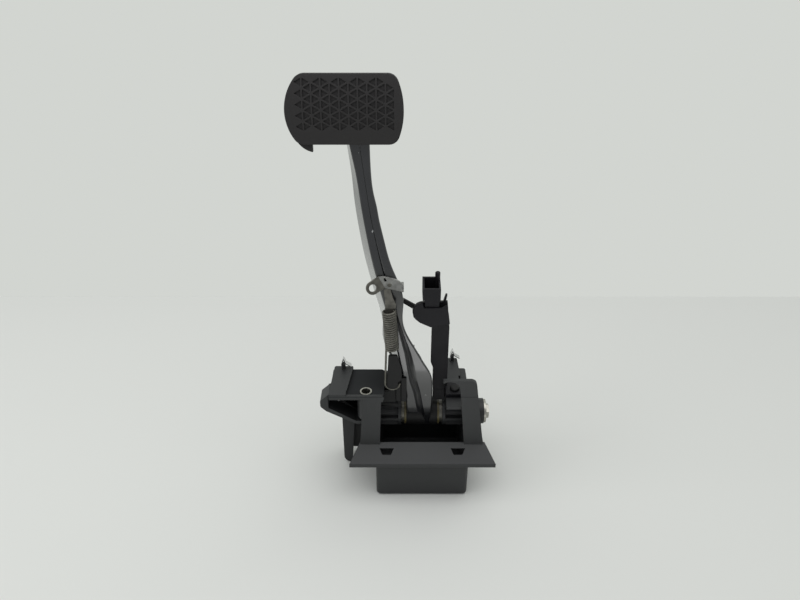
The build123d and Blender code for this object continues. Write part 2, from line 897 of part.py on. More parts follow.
def spring_tongue(root_y, root_z):
    """Strip bent forward from the saddle and down into the top of the coil."""
    bend_z = spring_top_z + tongue_clear
    points = [
        (root_y, root_z + saddle_sheet),
        (spring_y, bend_z),
        (spring_y, spring_top_z - tongue_reach),
    ]
    strip = make_face(Wire(Polyline(*points).edges()).offset_2d(saddle_sheet / 2))
    plane = Plane(origin=(spring_top_x - tongue_half, 0, 0), x_dir=(0, 1, 0), z_dir=(1, 0, 0))
    return extrude(plane * strip, 2 * tongue_half)


def spring_anchor():
    """Steel tab that the lower hook pulls on, riveted to the left cheek."""
    reach = hook_radius - spring_wire - anchor_gap
    centre = spring_low_x
    leaf = rounded(
        [
            (centre - reach, hook_z - reach),
            (centre + reach, hook_z - reach),
            (centre + reach, hook_z + hook_room),
            (centre + anchor_shoulder, hook_z + anchor_shoulder_low),
            (centre + anchor_shoulder, hook_z + anchor_shoulder_high),
            (centre + anchor_top_right, anchor_top),
            (centre - anchor_top_left, anchor_top),
        ],
        [anchor_corner] * 2 + [0, 0] + [anchor_corner / 2] * 3,
    )
    front = spring_y - anchor_sheet / 2
    tab = plate_y(leaf, front, front + anchor_sheet)
    post_back = front + 2 * anchor_sheet + 2 * spring_wire
    left = centre - anchor_half
    right = centre + anchor_half
    top = hook_z + anchor_neck
    neck = block(left, right, front, post_back, hook_z, top)
    inner = -tub_half + wall
    high = anchor_foot_z + anchor_foot_height
    post = block(left, right, post_back - anchor_sheet, post_back, anchor_foot_z, top)
    arm = block(inner, right, post_back - anchor_sheet, post_back, anchor_foot_z, high)
    foot = block(inner, inner + anchor_sheet, post_back - anchor_sheet, 0, anchor_foot_z, high)
    hole = bar_x(inner - 1, inner + anchor_sheet + 1, rivet_radius, *rivet_place())
    return tab + neck + post + arm + foot - hole


def rivet_place():
    """Y and Z of the anchor's rivet."""
    return rivet_y, anchor_foot_z + anchor_foot_height / 2


def anchor_rivet():
    """Rivet head and shank of the spring anchor."""
    y, z = rivet_place()
    inner = -tub_half + wall
    rivet = bar_x(inner, inner + anchor_sheet, rivet_radius, y, z)
    seat = inner + anchor_sheet
    return rivet + bar_x(seat, seat + rivet_head_height, rivet_head, y, z)


def socket_walls():
    """Front and back of the connector's socket."""
    return shroud_front + shroud_wall, shroud_back - shroud_wall


def shroud():
    """Connector shroud whose rim rises towards the back."""
    points = [
        (shroud_front, shroud_step_z),
        (shroud_back, shroud_step_z),
        (shroud_back, shroud_back_z),
        (shroud_front, shroud_front_z),
    ]
    plane = Plane(origin=(shroud_left, 0, 0), x_dir=(0, 1, 0), z_dir=(1, 0, 0))
    outer = extrude(plane * make_face(Polyline(*points, close=True)), shroud_right - shroud_left)
    socket_front, socket_back = socket_walls()
    socket = block(
        shroud_left + shroud_wall, shroud_right - shroud_wall, socket_front, socket_back,
        shroud_front_z - socket_depth, shroud_back_z)
    peg_x = shroud_right - peg_radius
    peg_y = shroud_back - peg_radius
    peg = bar_z(shroud_step_z, shroud_back_z + peg_height, peg_radius, peg_x, peg_y)
    return outer - socket + fillet(peg.edges().group_by(Axis.Z)[-1], peg_radius / 2)


def switch_housing():
    """Stem in front of the carrier, with the connector shroud above and the barrel behind."""
    back = carrier_front + carrier_sheet + barrel_proud
    left = shroud_left + shroud_step
    right = shroud_right - shroud_step / 2
    body = block(left, right, shroud_front, carrier_front, shroud_foot_z, shroud_step_z) + shroud()
    body += bar_y(carrier_front, back, barrel_radius, switch_x, switch_z)
    guide = plunger_radius + barrel_clearance
    return body - bar_y(shroud_front + shroud_wall, back, guide, switch_x, switch_z)


def switch_terminals():
    """Blades in the connector socket."""
    middle = (shroud_left + shroud_right) / 2
    floor = shroud_front_z - socket_depth
    y = sum(socket_walls()) / 2
    blades = []
    for number in (-1, 0, 1):
        x = middle + number * terminal_pitch
        blades.append(block(
            x - terminal_size / 2, x + terminal_size / 2, y - terminal_width / 2, y + terminal_width / 2,
            floor, floor + terminal_height))
    return Compound(children=blades)


def striker_front():
    """Y of the striker's face that the plunger touches."""
    return carrier_front + carrier_sheet + barrel_proud + plunger_travel


def switch_plunger():
    """Plunger that follows the striker."""
    tip = striker_front() - plunger_gap
    start = shroud_front + shroud_wall + plunger_gap
    plunger = bar_y(start, tip - plunger_travel, plunger_radius, switch_x, switch_z)
    plunger += bar_y(tip - plunger_travel, tip, plunger_radius, switch_x, switch_z)
    return fillet(plunger.edges().group_by(Axis.Y)[-1], plunger_radius / 3)


def switch_striker():
    """Bar on the arm that presses the plunger at rest."""
    y0 = striker_front()
    y1 = y0 + striker_sheet
    root_x = arm_edge(striker_root_z, y1 - striker_tab, 1) + striker_clear
    across = switch_x - root_x
    fall = switch_z - striker_root_z
    length = math.hypot(across, fall)
    nx = -fall / length * striker_width / 2
    nz = across / length * striker_width / 2
    bar = make_face(Polyline(
        (root_x, striker_root_z + nz), (switch_x + nx, switch_z + nz),
        (switch_x - nx, switch_z - nz), (root_x, striker_root_z - nz), close=True))
    plate = plate_y(bar + Pos(switch_x, switch_z) * Circle(striker_pad), y0, y1)
    tab = block(
        root_x, root_x + striker_sheet, y1 - striker_tab, y1, striker_root_z - nz, striker_root_z + nz)
    return plate + tab


def carrier_outline():
    """Front outline of the carrier: a column whose head swells to a round lobe on the left."""
    lobe_top = (lobe_x, lobe_z + lobe_radius)
    lobe_left = (lobe_x - lobe_radius * math.cos(math.pi / 4), lobe_z + lobe_radius * math.sin(math.pi / 4))
    lobe_low = (lobe_low_x, lobe_low_z)
    corners = [
        lobe_low,
        (carrier_left, carrier_fork_z),
        (carrier_left, carrier_knee_z),
        (carrier_foot_left, carrier_knee_z - carrier_knee),
        (carrier_foot_left, ledge_top),
        (carrier_right, ledge_top),
        (carrier_right, carrier_fork_z),
        (carrier_top_right, carrier_top_z),
        lobe_top,
    ]
    return make_face([ThreePointArc(lobe_top, lobe_left, lobe_low), Polyline(*corners)])


def switch_carrier():
    """Column that holds the switch over the right ledge."""
    plate_back = carrier_front + carrier_sheet
    back = carrier_front + carrier_depth
    carrier = plate_y(carrier_outline(), carrier_front, plate_back)
    for x in (carrier_foot_left, carrier_right - thin_wall):
        carrier += block(x, x + thin_wall, carrier_front, back, ledge_top, carrier_fork_z)
    inside = carrier_foot_left + thin_wall
    carrier += block(inside, carrier_right, carrier_front, back, ledge_top, ledge_top + carrier_web)
    foot_top = ledge_top + carrier_foot_height
    foot_rear = tongue_front - thrust_gap
    carrier += block(ledge_in, carrier_foot_right, carrier_foot_front, foot_rear, ledge_top, foot_top)
    finger_face = make_face(Polyline(
        (finger_x - finger_half, finger_low),
        (finger_x + finger_half, finger_low),
        (finger_x + finger_lean + finger_half / 2, finger_top),
        (finger_x + finger_lean - finger_half / 2, finger_top),
        close=True,
    ))
    carrier += plate_y(finger_face, carrier_front, plate_back)
    carrier -= bar_y(carrier_front, plate_back, barrel_radius + barrel_clearance, switch_x, switch_z)
    carrier -= bar_z(
        ledge_top - 1, foot_top + 1, screw_radius + bolt_clearance, carrier_screw_x, carrier_screw_y)
    return carrier


def carrier_screw():
    """Pan-head screw of the switch carrier."""
    seat = ledge_top + carrier_foot_height
    shank = bar_z(seat - screw_length, seat, screw_radius, carrier_screw_x, carrier_screw_y)
    head = bar_z(seat, seat + screw_head_height, screw_head, carrier_screw_x, carrier_screw_y)
    return shank + fillet(head.edges().group_by(Axis.Z)[-1], screw_head_height / 2)


left_clip_place, right_clip_place = clip_places()
pieces = {
    "pedal_bracket": pedal_bracket(),
    "mounting_sleeve": mounting_sleeve(),
    "clip_left": spring_clip(left_clip_place),
    "clip_right": spring_clip(right_clip_place),
    "pivot_bolt": pivot_bolt(),
    "pivot_nut": pivot_nut(),
    "pivot_spacer": pivot_spacer(),
    "thrust_washer_left": mirror(thrust_washer(), about=Plane.YZ),
    "thrust_washer_right": thrust_washer(),
    "spring_anchor": spring_anchor(),
    "anchor_rivet": anchor_rivet(),
    "switch_carrier": switch_carrier(),
    "carrier_screw": carrier_screw(),
    "switch_housing": switch_housing(),
    "switch_terminals": switch_terminals(),
    "switch_plunger": switch_plunger(),
    "return_spring": return_spring(),
    "arm_left_shell": arm_shell(-1),
    "arm_right_shell": arm_shell(1),
    "pivot_tube": pivot_tube(),
    "pivot_bush_left": mirror(pivot_bush(), about=Plane.YZ),
    "pivot_bush_right": pivot_bush(),
    "pushrod_sleeve": pushrod_sleeve(),
    "pad_plate": pad_plate(),
    "pad_rubber": pad_rubber(),
    "spring_bracket": spring_bracket(),
    "switch_striker": switch_striker(),
}
os.makedirs("parts", exist_ok=True)
for name, piece in pieces.items():
    export_step(piece, f"parts/{name}.step")
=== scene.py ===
import json
import math

import bmesh
import bpy
from mathutils import Matrix, Vector

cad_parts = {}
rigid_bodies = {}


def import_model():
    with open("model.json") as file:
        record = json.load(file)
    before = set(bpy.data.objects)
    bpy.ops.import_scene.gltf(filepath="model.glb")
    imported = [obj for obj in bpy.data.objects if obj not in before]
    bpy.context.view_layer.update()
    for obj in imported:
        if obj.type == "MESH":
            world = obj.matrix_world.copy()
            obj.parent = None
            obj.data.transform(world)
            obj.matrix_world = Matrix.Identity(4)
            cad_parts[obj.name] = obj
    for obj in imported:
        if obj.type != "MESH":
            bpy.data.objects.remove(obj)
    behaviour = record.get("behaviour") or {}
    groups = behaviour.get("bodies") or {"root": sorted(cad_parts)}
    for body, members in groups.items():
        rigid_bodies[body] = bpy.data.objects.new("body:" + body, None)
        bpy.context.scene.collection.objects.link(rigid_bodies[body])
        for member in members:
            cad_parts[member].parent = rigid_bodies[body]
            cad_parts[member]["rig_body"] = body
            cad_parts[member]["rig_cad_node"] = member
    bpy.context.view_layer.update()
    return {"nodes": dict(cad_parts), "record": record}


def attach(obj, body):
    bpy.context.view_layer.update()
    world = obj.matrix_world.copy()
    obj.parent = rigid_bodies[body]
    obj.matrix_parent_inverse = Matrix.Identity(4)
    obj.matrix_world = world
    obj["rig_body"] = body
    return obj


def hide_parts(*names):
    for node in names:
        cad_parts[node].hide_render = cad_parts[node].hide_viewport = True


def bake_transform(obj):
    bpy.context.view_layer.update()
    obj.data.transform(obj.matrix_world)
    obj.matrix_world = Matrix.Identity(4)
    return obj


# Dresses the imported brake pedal: finishes, pieces in the place of CAD nodes, floor, light and camera.
# The frame, the finishes and the stage are in metres. The scene's own forms are drawn in millimetres.

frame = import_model()

# One millimetre of the scene's own forms
MM = 0.001

# Camera and floor
CAMERA_PLACE = (-0.0213, -0.4965, 0.4837)
CAMERA_PITCH = 60.0
CAMERA_LENS = 28.8
FLOOR_BACK = 0.351
FLOOR_HALF = 4.0

# Fit of the arm: a row's height, the arm's left edge, right edge and front there,
# the moves of its left and right edge, and its lean for each millimetre of depth
ARM_FIT = (
    (105.0, -15.3, 9.1, -20.0, 0.0, 0.0, 0.00),
    (121.0, -15.3, 9.2, -21.0, -2.6, 0.0, 0.13),
    (133.0, -17.4, 4.6, -20.8, -2.6, 0.0, 0.16),
    (149.0, -21.0, -2.5, -20.0, -1.6, -0.2, 0.09),
    (165.0, -25.0, -10.0, -19.0, -0.6, -1.2, 0.01),
    (181.0, -29.5, -17.6, -17.5, 0.0, -0.6, 0.00),
    (205.0, -36.0, -18.0, -15.0, 0.0, 0.0, 0.00),
)

# Push rod sleeve: its ends in X, its axis in Y and Z, its bore and outside, and its edges
SLEEVE_ENDS = (-28.0, -7.5)
SLEEVE_PLACE = (6.0, 136.5)
SLEEVE_RADII = (5.0, 7.0)
SLEEVE_EDGE = 0.3

# Spring bracket, drawn upright in X and Z and then leant back against the arm
SHEET = 2.4
SHEET_EDGE = 0.3
SADDLE_FRONT = -15.5
SADDLE_Z = 205.0
SADDLE_LEAN = 9.5

# Eyelet strap of the spring bracket, and the place where it bends away from the band
LUG = (-45.5, 217.9)
LUG_RADIUS = 5.8
EYELET_RADIUS = 3.3
STRAP_LENGTH = 9.5
STRAP_ANGLE = 30.0
STRAP_BEND = 18.0
STRAP_OVERLAP = 0.4
STRAP_RUN = (math.cos(math.radians(STRAP_ANGLE)), math.sin(math.radians(STRAP_ANGLE)))
BEND = (LUG[0] + STRAP_LENGTH * STRAP_RUN[0], LUG[1] + STRAP_LENGTH * STRAP_RUN[1])

# Band of the spring bracket: its upper edge, right end, slot, plug weld and side tab
BAND_TOP = ((-36.0, 228.3), (-31.0, 227.3), (-26.2, 226.0), (-22.0, 223.8), (-19.6, 221.6))
BAND_RIGHT = -18.0
BAND_RIGHT_LOW = 214.0
BAND_RIGHT_HIGH = 219.5
SLOT = (-34.0, 225.0)
SLOT_RADIUS = 0.9
SLOT_HALF = 0.8
WELD = (-30.2, 220.4)
WELD_RADIUS = 1.8
WELD_THICKNESS = 1.2
WELD_EDGE = 0.5
WELD_SINK = 0.6
TAB_BACK = 9.0

# Tongue of the spring bracket: left edge, right edge, Y and Z of its rows, down into the coil
TONGUE = (
    (-35.4, -30.0, -14.6, 218.0), (-34.4, -27.0, -20.0, 209.5), (-34.2, -24.6, -22.6, 205.6),
    (-34.2, -25.0, -24.0, 202.6), (-34.2, -27.2, -24.0, 201.4), (-34.2, -27.2, -24.0, 194.0),
)

# Windows in the bracket's flange: place of the right one, half sizes, depth of the cut and the slope
WINDOW_X = 34.0
WINDOW_Y = -39.7
WINDOW_Z = 53.0
WINDOW_TOP_HALF = 6.8
WINDOW_LOW_HALF = 4.0
WINDOW_HALF = 3.0
WINDOW_DEPTH = 9.0
FLANGE_SLOPE = 32.8

# Cut above the bracket's right wall: its outline in Y and Z, and its ends in X
WALL_TOP = ((-29.5, 131.0), (11.0, 95.5), (11.0, 134.0), (-29.5, 134.0))
WALL_SIDE = (36.0, 60.0)

# Cuts under the roofs of the wing's pocket and lip, and off the bead's top: limits in X, Y and Z
POCKET_ROOF = ((-80.9, -57.5), (-31.0, 1.0), (109.5, 112.8))
LIP_ROOF = ((-87.9, -80.8), (-31.0, -13.2), (109.5, 112.8))
BEAD_TOP = ((-71.0, -37.0), (-36.0, -27.0), (115.0, 118.0))

# Corner cut off the foot of the switch, along the lower edge of the face, and its depth in Y
SWITCH_CORNER = ((-3.5, 180.6), (6.2, 175.8), (10.4, 173.7), (10.4, 170.0), (-3.5, 170.0))
SWITCH_DEPTH = (-14.0, 10.0)

# Angle from which an edge of a cut piece is sharp
SHARP_ANGLE = 30.0

# Rounded edges of the scene's own plates: radius and steps
PLATE_EDGE = 0.35
PLATE_STEPS = 3

# Panel that closes the wing's lip behind the pocket
LIP_PANEL = ((-88.6, -80.4), (-13.6, -12.4), (96.0, 113.2))

# Leaf of the spring's anchor beside the arm, and its foot on the anchor's post
LEAF = ((-25.0, -15.2), (-22.9, -21.8), (100.0, 127.0))
LEAF_FOOT = ((-21.0, -19.7), (-22.9, -18.6), (100.0, 127.0))

# Face of the switch carrier, in front of the switch, with its lobe to the left
FACE_FRONT = -12.6
FACE_SHEET = 1.6
FACE_EDGE = 0.4
FACE = (
    (-10.2, 193.1), (-9.2, 196.2), (-7.2, 198.6), (-4.4, 200.2), (-1.4, 200.7), (-0.2, 195.8),
    (15.6, 195.8), (19.7, 198.6), (21.9, 190.4), (23.3, 179.2), (6.2, 175.8), (-3.5, 180.6),
    (-7.4, 184.0), (-9.5, 187.0),
)

# Skirt below the switch carrier's column
SKIRT = ((10.4, 21.9), (-4.0, -1.0), (87.0, 100.0))

# Heights of the deck's grained top, and how far its finish fades
DECK_LOW = 0.1137
DECK_HIGH = 0.1143
DECK_FADE = 1e-5

# Rays that find nooks and soften edges in the finishes
NOOK_SAMPLES = 8
EDGE_SAMPLES = 6

# Finishes: linear base colours
CHARCOAL = (0.0250, 0.0262, 0.0272)
SWITCH_BLACK = (0.0072, 0.0067, 0.0092)
DULL_BLACK = (0.0060, 0.0060, 0.0062)
ARM_BLACK = (0.0060, 0.0066, 0.0080)
CHIP = (0.35, 0.36, 0.36)
PHOSPHATE = (0.145, 0.140, 0.122)
BARE_STEEL = (0.30, 0.30, 0.29)
ZINC = (0.44, 0.43, 0.39)
BRIGHT = (0.72, 0.72, 0.72)
BUSH = (0.11, 0.092, 0.04)
BRASS = (0.58, 0.48, 0.24)
ACETAL = (0.50, 0.50, 0.46)
RUBBER = (0.0250, 0.0233, 0.0238)
FLOOR = (0.70, 0.71, 0.69)

# Room: its colours from behind the camera to behind the pedal, and their places on the way
ROOM_FRONT = (0.34, 0.35, 0.36)
ROOM_SIDE = (0.46, 0.47, 0.46)
ROOM_BACK = (0.645, 0.665, 0.635)
ROOM = ((0.0, ROOM_FRONT), (0.5, ROOM_SIDE), (0.75, ROOM_BACK))


def set_ramp(ramp, stops):
    """Gives a new colour ramp its colours at their places."""
    middle = 0.5
    while len(ramp.elements) < len(stops):
        ramp.elements.new(middle)
    for element, (place, colour) in zip(ramp.elements, stops):
        element.position = place
        element.color = (*colour, 1.0)


class Finish:
    """One procedural material, with short calls for the nodes that it needs."""

    def __init__(self, name, colour, roughness, metallic=0.0, specular=0.5, coat=0.0):
        self.material = bpy.data.materials.new(name)
        self.material.use_nodes = True
        self.tree = self.material.node_tree
        self.shader = self.tree.nodes["Principled BSDF"]
        self.shader.inputs["Base Color"].default_value = (*colour, 1.0)
        self.shader.inputs["Roughness"].default_value = roughness
        self.shader.inputs["Metallic"].default_value = metallic
        self.shader.inputs["Specular IOR Level"].default_value = specular
        self.shader.inputs["Coat Weight"].default_value = coat
        self.place = self.tree.nodes.new("ShaderNodeTexCoord").outputs["Object"]

    def link(self, source, target):
        self.tree.links.new(source, target)

    def noise(self, scale, detail, stretch=(1.0, 1.0, 1.0)):
        """Cloudy pattern; scale counts its lumps in a metre."""
        mapping = self.tree.nodes.new("ShaderNodeMapping")
        mapping.inputs["Scale"].default_value = stretch
        self.link(self.place, mapping.inputs["Vector"])
        node = self.tree.nodes.new("ShaderNodeTexNoise")
        node.inputs["Scale"].default_value = scale
        node.inputs["Detail"].default_value = detail
        self.link(mapping.outputs["Vector"], node.inputs["Vector"])
        return node.outputs["Fac"]

    def ramp(self, source, *stops):
        """Colours at places along a pattern."""
        node = self.tree.nodes.new("ShaderNodeValToRGB")
        set_ramp(node.color_ramp, stops)
        self.link(source, node.inputs["Fac"])
        return node.outputs["Color"]

    def colour(self, source):
        self.link(source, self.shader.inputs["Base Color"])

    def height_band(self, low, high, fade):
        """One between two heights and zero elsewhere."""
        split = self.tree.nodes.new("ShaderNodeSeparateXYZ")
        self.link(self.place, split.inputs["Vector"])
        edges = []
        for start, end in ((low, low + fade), (high, high - fade)):
            node = self.tree.nodes.new("ShaderNodeMapRange")
            node.inputs["From Min"].default_value = start
            node.inputs["From Max"].default_value = end
            self.link(split.outputs["Z"], node.inputs["Value"])
            edges.append(node.outputs["Result"])
        both = self.tree.nodes.new("ShaderNodeMath")
        both.operation = "MULTIPLY"
        for edge, socket in zip(edges, both.inputs):
            self.link(edge, socket)
        return both.outputs["Value"]

    def painted_shade_openness(self, distance):
        """How open the surface is to its surroundings, from zero in a nook to one; the finishes paint
        shade into their colours from it.
        """
        node = self.tree.nodes.new("ShaderNodeAmbientOcclusion")
        node.samples = NOOK_SAMPLES
        node.inputs["Distance"].default_value = distance
        return node.outputs["AO"]

    def drive(self, socket, source, at_zero, at_one):
        """Sets an input of the shader from a pattern between zero and one."""
        node = self.tree.nodes.new("ShaderNodeMapRange")
        node.inputs["To Min"].default_value = at_zero
        node.inputs["To Max"].default_value = at_one
        self.link(source, node.inputs["Value"])
        self.link(node.outputs["Result"], self.shader.inputs[socket])

    def relief(self, source, strength, distance, edge):
        """Fine surface relief, with edges softened by a small radius."""
        node = self.tree.nodes.new("ShaderNodeBump")
        node.inputs["Strength"].default_value = strength
        node.inputs["Distance"].default_value = distance
        self.link(source, node.inputs["Height"])
        bevel = self.tree.nodes.new("ShaderNodeBevel")
        bevel.samples = EDGE_SAMPLES
        bevel.inputs["Radius"].default_value = edge
        self.link(bevel.outputs["Normal"], node.inputs["Normal"])
        self.link(node.outputs["Normal"], self.shader.inputs["Normal"])


def shade(colour, factor):
    """The same colour, darker or lighter."""
    return tuple(channel * factor for channel in colour)


def moulding(name, colour, roughness, specular=0.4):
    """Moulded plastic with a fine grain, its colour darkened by painted shade in its nooks and lightened
    a little on open faces.
    """
    finish = Finish(name, colour, roughness, specular=specular)
    # Painted shade: ambient occlusion darkens the colour in nooks and lightens it a little where the
    # surface is open.
    painted_shade_openness = finish.painted_shade_openness(distance=0.04)
    stops = ((0.1, shade(colour, 0.6)), (0.6, shade(colour, 0.9)), (1.0, shade(colour, 1.15)))
    finish.colour(finish.ramp(painted_shade_openness, *stops))
    grain = finish.noise(scale=2600.0, detail=2.0)
    finish.relief(grain, strength=0.22, distance=0.0002, edge=0.0006)
    return finish


def bracket_moulding():
    """Charcoal moulding whose deck is grained and dull."""
    finish = moulding("charcoal_moulding", CHARCOAL, roughness=0.5)
    deck = finish.height_band(DECK_LOW, DECK_HIGH, DECK_FADE)
    finish.drive("Specular IOR Level", deck, at_zero=0.4, at_one=0.05)
    finish.drive("Roughness", deck, at_zero=0.48, at_one=0.8)
    return finish.material


def painted(name):
    """Glossy black dip coat with a few bare chips."""
    finish = Finish(name, ARM_BLACK, roughness=0.3, specular=0.8, coat=1.0)
    finish.shader.inputs["Coat Roughness"].default_value = 0.08
    cloud = finish.noise(scale=45.0, detail=5.0)
    finish.drive("Roughness", cloud, at_zero=0.2, at_one=0.42)
    chips = finish.noise(scale=260.0, detail=2.0, stretch=(1.0, 1.0, 0.55))
    finish.colour(finish.ramp(chips, (0.735, ARM_BLACK), (0.75, CHIP)))
    ripple = finish.noise(scale=700.0, detail=3.0)
    finish.relief(ripple, strength=0.06, distance=0.0003, edge=0.0010)
    return finish.material


def plated(name, colour, roughness, metallic=1.0):
    """Plated or coated steel with a slight mottling."""
    finish = Finish(name, colour, roughness, metallic)
    mottling = finish.noise(scale=220.0, detail=5.0)
    finish.colour(finish.ramp(mottling, (0.3, shade(colour, 0.7)), (0.7, shade(colour, 1.2))))
    cloud = finish.noise(scale=90.0, detail=4.0)
    finish.drive("Roughness", cloud, at_zero=roughness - 0.12, at_one=roughness + 0.12)
    grain = finish.noise(scale=1500.0, detail=2.0)
    finish.relief(grain, strength=0.1, distance=0.0002, edge=0.0003)
    return finish.material


def rubber(name):
    """Worn rubber, its colour darkened by painted shade in its hollows and lightened a little on open
    faces.
    """
    finish = Finish(name, RUBBER, roughness=0.6, specular=0.35)
    # Painted shade: ambient occlusion darkens the colour in the hollows and lightens it a little where
    # the surface is open.
    painted_shade_openness = finish.painted_shade_openness(distance=0.006)
    stops = ((0.3, shade(RUBBER, 0.82)), (0.9, RUBBER), (1.0, shade(RUBBER, 1.1)))
    finish.colour(finish.ramp(painted_shade_openness, *stops))
    wear = finish.noise(scale=70.0, detail=6.0)
    finish.drive("Roughness", wear, at_zero=0.5, at_one=0.72)
    grain = finish.noise(scale=1800.0, detail=3.0)
    finish.relief(grain, strength=0.3, distance=0.0003, edge=0.0009)
    return finish.material


def plain(name, colour, roughness):
    """Even material of the stage."""
    return Finish(name, colour, roughness, specular=0.2).material


materials = {
    "bracket_plastic": bracket_moulding(),
    "switch_plastic": moulding("black_moulding", SWITCH_BLACK, roughness=0.5, specular=0.25).material,
    "plunger_plastic": moulding("acetal", ACETAL, roughness=0.4).material,
    "arm_paint": painted("black_dip_coat"),
    "phosphate_steel": plated("phosphate", PHOSPHATE, roughness=0.45, metallic=0.75),
    "zinc_steel": plated("zinc", ZINC, roughness=0.38),
    "clip_steel": plated("bright_steel", BRIGHT, roughness=0.28),
    "bush_plastic": moulding("bush_polymer", BUSH, roughness=0.4).material,
    "terminal_brass": plated("tinned_brass", BRASS, roughness=0.3),
    "pad_rubber": rubber("worn_rubber"),
}

# Nodes whose finish differs from the rest of their slot
dull_black = moulding("dull_black_coat", DULL_BLACK, roughness=0.55, specular=0.3).material
special = {
    "spring_anchor": dull_black,
    "switch_striker": dull_black,
    "carrier_screw": dull_black,
    "pivot_tube": dull_black,
    "spring_bracket": plated("bare_steel", BARE_STEEL, roughness=0.4, metallic=0.9),
}

slots = {subpart["node"]: subpart["material_slot"] for subpart in frame["record"]["subparts"]}

for node, slot in slots.items():
    mesh = frame["nodes"][node].data
    mesh.materials.clear()
    mesh.materials.append(special.get(node, materials[slot]))


def stand_in(node, name):
    """Copy of a CAD node's object that the scene may shape and that takes its place."""
    thing = frame["nodes"][node].copy()
    thing.data = thing.data.copy()
    thing.name = name
    thing.parent = None
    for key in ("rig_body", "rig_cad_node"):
        del thing[key]
    bpy.context.scene.collection.objects.link(thing)
    return thing


def spring_that_stretches():
    """Return spring between the bracket's anchor and the arm's tongue, copied, baked in place and shown
    instead of the CAD node.
    """
    spring = stand_in("return_spring", "spring_coil")
    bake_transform(spring)
    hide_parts("return_spring")


def arm_row(z):
    """Fit of the arm at a height, between two rows of its table, whose end rows move nothing."""
    z = min(max(z, ARM_FIT[0][0]), ARM_FIT[-1][0])
    low, high = next(pair for pair in zip(ARM_FIT, ARM_FIT[1:]) if z <= pair[1][0])
    t = (z - low[0]) / (high[0] - low[0])
    return [a + t * (b - a) for a, b in zip(low, high)]


def arm_shift(x, y, z):
    """Sideways move of a point of the arm, in millimetres."""
    _, left, right, front, move_left, move_right, lean = arm_row(z)
    return move_left + (x - left) / (right - left) * (move_right - move_left) - lean * (y - front)


def fit_arm():
    """Arm shells that lean and widen above the hub."""
    for node, name in (("arm_left_shell", "arm_left"), ("arm_right_shell", "arm_right")):
        shell = stand_in(node, name)
        for vertex in shell.data.vertices:
            vertex.co.x += arm_shift(*(vertex.co / MM)) * MM
        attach(shell, "pedal")
        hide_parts(node)


def circle(centre, radius, count=40, start=0.0, turn=360.0):
    """Points along an arc, in a plane."""
    angles = [math.radians(start + turn * i / count) for i in range(count + (turn < 360))]
    return [(centre[0] + radius * math.cos(a), centre[1] + radius * math.sin(a)) for a in angles]


def sheet_mesh(outlines, thickness, edge=0.0):
    """Plate with holes, drawn in X and Z with its back face at Y zero, in millimetres."""
    curve = bpy.data.curves.new("outline", "CURVE")
    curve.dimensions = "2D"
    curve.fill_mode = "BOTH"
    curve.extrude = thickness / 2 - edge
    curve.bevel_depth = edge
    curve.offset = -edge
    for outline in outlines:
        spline = curve.splines.new("POLY")
        spline.points.add(len(outline) - 1)
        spline.use_cyclic_u = True
        for point, (x, z) in zip(spline.points, outline):
            point.co = (x, z, 0, 1)
    thing = bpy.data.objects.new("outline", curve)
    mesh = bpy.data.meshes.new_from_object(thing)
    mesh.transform(Matrix.Translation((0, -thickness / 2, 0)) @ Matrix.Rotation(math.pi / 2, 4, "X"))
    bpy.data.objects.remove(thing)
    bpy.data.curves.remove(curve)
    return mesh


def side_sheet_mesh(outlines, thickness, place, edge=0.0):
    """Plate with holes, drawn in Y and Z from a place, with its left face there, in millimetres."""
    mesh = sheet_mesh(outlines, thickness, edge)
    mesh.transform(Matrix.Translation(place) @ Matrix.Rotation(math.pi / 2, 4, "Z"))
    return mesh


def box_mesh(ranges, edge=0.0):
    """Box between three pairs of limits, with rounded edges where a radius is given."""
    form = bmesh.new()
    bmesh.ops.create_cube(form, size=1.0)
    for vert in form.verts:
        vert.co = [(a + b) / 2 + c * (b - a) for c, (a, b) in zip(vert.co, ranges)]
    if edge:
        bmesh.ops.bevel(
            form, geom=form.edges, offset=edge, segments=PLATE_STEPS, profile=0.5, affect="EDGES")
    mesh = bpy.data.meshes.new("box")
    form.to_mesh(mesh)
    form.free()
    return mesh


def made(name, parts, body, node=None):
    """One piece from meshes in millimetres, each with its material, which may take a CAD node's place."""
    joined = bmesh.new()
    data = bpy.data.meshes.new(name)
    for number, (mesh, material) in enumerate(parts):
        mesh.polygons.foreach_set("material_index", [number] * len(mesh.polygons))
        joined.from_mesh(mesh)
        bpy.data.meshes.remove(mesh)
        data.materials.append(material)
    bmesh.ops.scale(joined, vec=(MM, MM, MM), verts=joined.verts)
    joined.to_mesh(data)
    joined.free()
    thing = bpy.data.objects.new(name, data)
    bpy.context.scene.collection.objects.link(thing)
    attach(thing, body)
    if node:
        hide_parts(node)


def beside_strap(place, offset):
    """Point at a distance from a place, square to the eyelet strap."""
    return place[0] - offset * STRAP_RUN[1], place[1] + offset * STRAP_RUN[0]


def band_mesh():
    """Slanted band of the spring bracket, with its slot."""
    outline = [
        beside_strap(BEND, LUG_RADIUS), *BAND_TOP,
        (BAND_RIGHT, BAND_RIGHT_HIGH), (BAND_RIGHT, BAND_RIGHT_LOW), beside_strap(BEND, -LUG_RADIUS),
    ]
    slot = []
    for offset, start in ((SLOT_HALF, STRAP_ANGLE), (-SLOT_HALF, STRAP_ANGLE + 180)):
        slot += circle(beside_strap(SLOT, offset), SLOT_RADIUS, count=12, start=start, turn=180.0)
    return sheet_mesh([outline, slot], SHEET, SHEET_EDGE)


